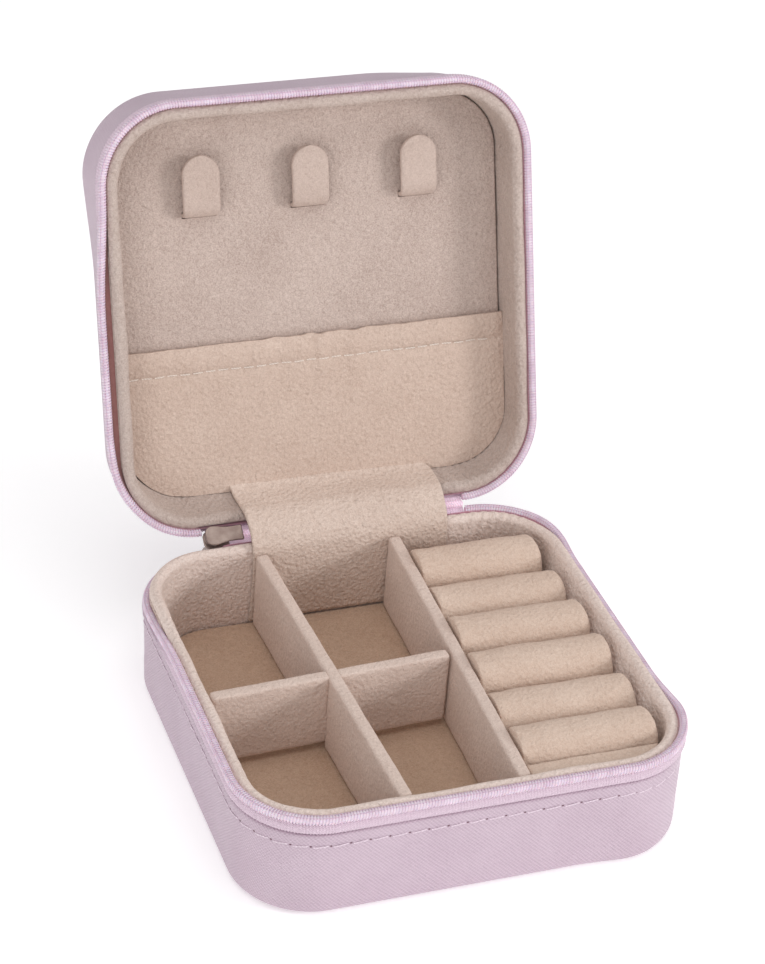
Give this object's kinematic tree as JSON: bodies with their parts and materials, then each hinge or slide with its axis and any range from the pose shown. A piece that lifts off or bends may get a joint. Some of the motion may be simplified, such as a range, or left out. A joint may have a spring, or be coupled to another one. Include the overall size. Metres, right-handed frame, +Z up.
{
  "type": "jewelry box",
  "caption": "Square zip-around travel jewelry box with divided compartments, ring rolls, and a hinged lid with necklace hooks and an elastic pocket.",
  "frame": {"origin": "centre of the underside of the base", "axes": "+X to the right seen from the front, +Y to the back (the hinge side), +Z up; the lid is open by 108 degrees at rest"},
  "size_m": [0.1012, 0.1477, 0.1214],
  "materials": {
    "leatherette": "lilac-pink leatherette with a fine diagonal cross-hatch, satin",
    "zip_tape": "pink woven zip tape",
    "zip_coil": "pink nylon zip coil",
    "velvet": "beige velvet",
    "roll_velvet": "peach-beige velvet over foam",
    "board": "stiff grey board, hidden",
    "foam": "soft foam, hidden",
    "elastic": "flat woven elastic, hidden",
    "slider_metal": "dull grey-brown plated metal"
  },
  "bodies": {
    "base": {"base_side_cover": "leatherette", "base_bottom_cover": "leatherette", "base_side_board": "board", "base_bottom_board": "board", "base_zip_tape": "zip_tape", "base_zip_coil": "zip_coil", "base_liner": "velvet", "base_floor_pad": "velvet", "long_divider_left": "velvet", "long_divider_right": "velvet", "cross_divider": "velvet", "ring_bed": "foam", "ring_end_pad_front": "roll_velvet", "ring_end_pad_back": "roll_velvet", "ring_roll_1": "roll_velvet", "ring_roll_2": "roll_velvet", "ring_roll_3": "roll_velvet", "ring_roll_4": "roll_velvet", "ring_roll_5": "roll_velvet", "ring_roll_6": "roll_velvet", "ring_roll_core_1": "foam", "ring_roll_core_2": "foam", "ring_roll_core_3": "foam", "ring_roll_core_4": "foam", "ring_roll_core_5": "foam", "ring_roll_core_6": "foam", "hinge_flap": "velvet", "leather_hinge": "leatherette"},
    "lid": {"lid_side_cover": "leatherette", "lid_top_cover": "leatherette", "lid_side_board": "board", "lid_top_board": "board", "lid_foam_pad": "foam", "lid_zip_tape": "zip_tape", "lid_zip_coil": "zip_coil", "lid_liner": "velvet", "lid_panel": "velvet", "necklace_hook_left": "velvet", "necklace_hook_middle": "velvet", "necklace_hook_right": "velvet", "necklace_pocket": "velvet", "pocket_elastic": "elastic"},
    "joined_zip": {"joined_coil_left": "zip_coil", "joined_coil_right": "zip_coil"},
    "slider": {"zip_slider": "slider_metal"},
    "pull": {"zip_pull_tab": "slider_metal"}
  },
  "joints": [
    {"name": "lid_hinge", "type": "hinge", "parent": "base", "child": "lid", "pos_m": [0, 0.05, 0.027], "axis": [1, 0, 0], "range_deg": [0, 108], "deforming": ["hinge_flap", "leather_hinge"]},
    {"name": "joined_zip_turn", "type": "hinge", "parent": "base", "child": "joined_zip", "pos_m": [0, 0.05, 0.027], "axis": [1, 0, 0], "range_deg": [0, 54]},
    {"name": "slider_travel", "type": "slide", "parent": "joined_zip", "child": "slider", "axis": [1, 0, 0], "range_m": [-0.0005, 0.0015]},
    {"name": "pull_swing", "type": "hinge", "parent": "slider", "child": "pull", "pos_m": [-0.0269, 0.05153, 0.0249], "axis": [0, 0.809, 0.5878], "range_deg": [-75, 75]}
  ],
  "couplings": [
    {"joint": "joined_zip_turn", "follows": "lid_hinge", "ratio": 0.5}
  ]
}
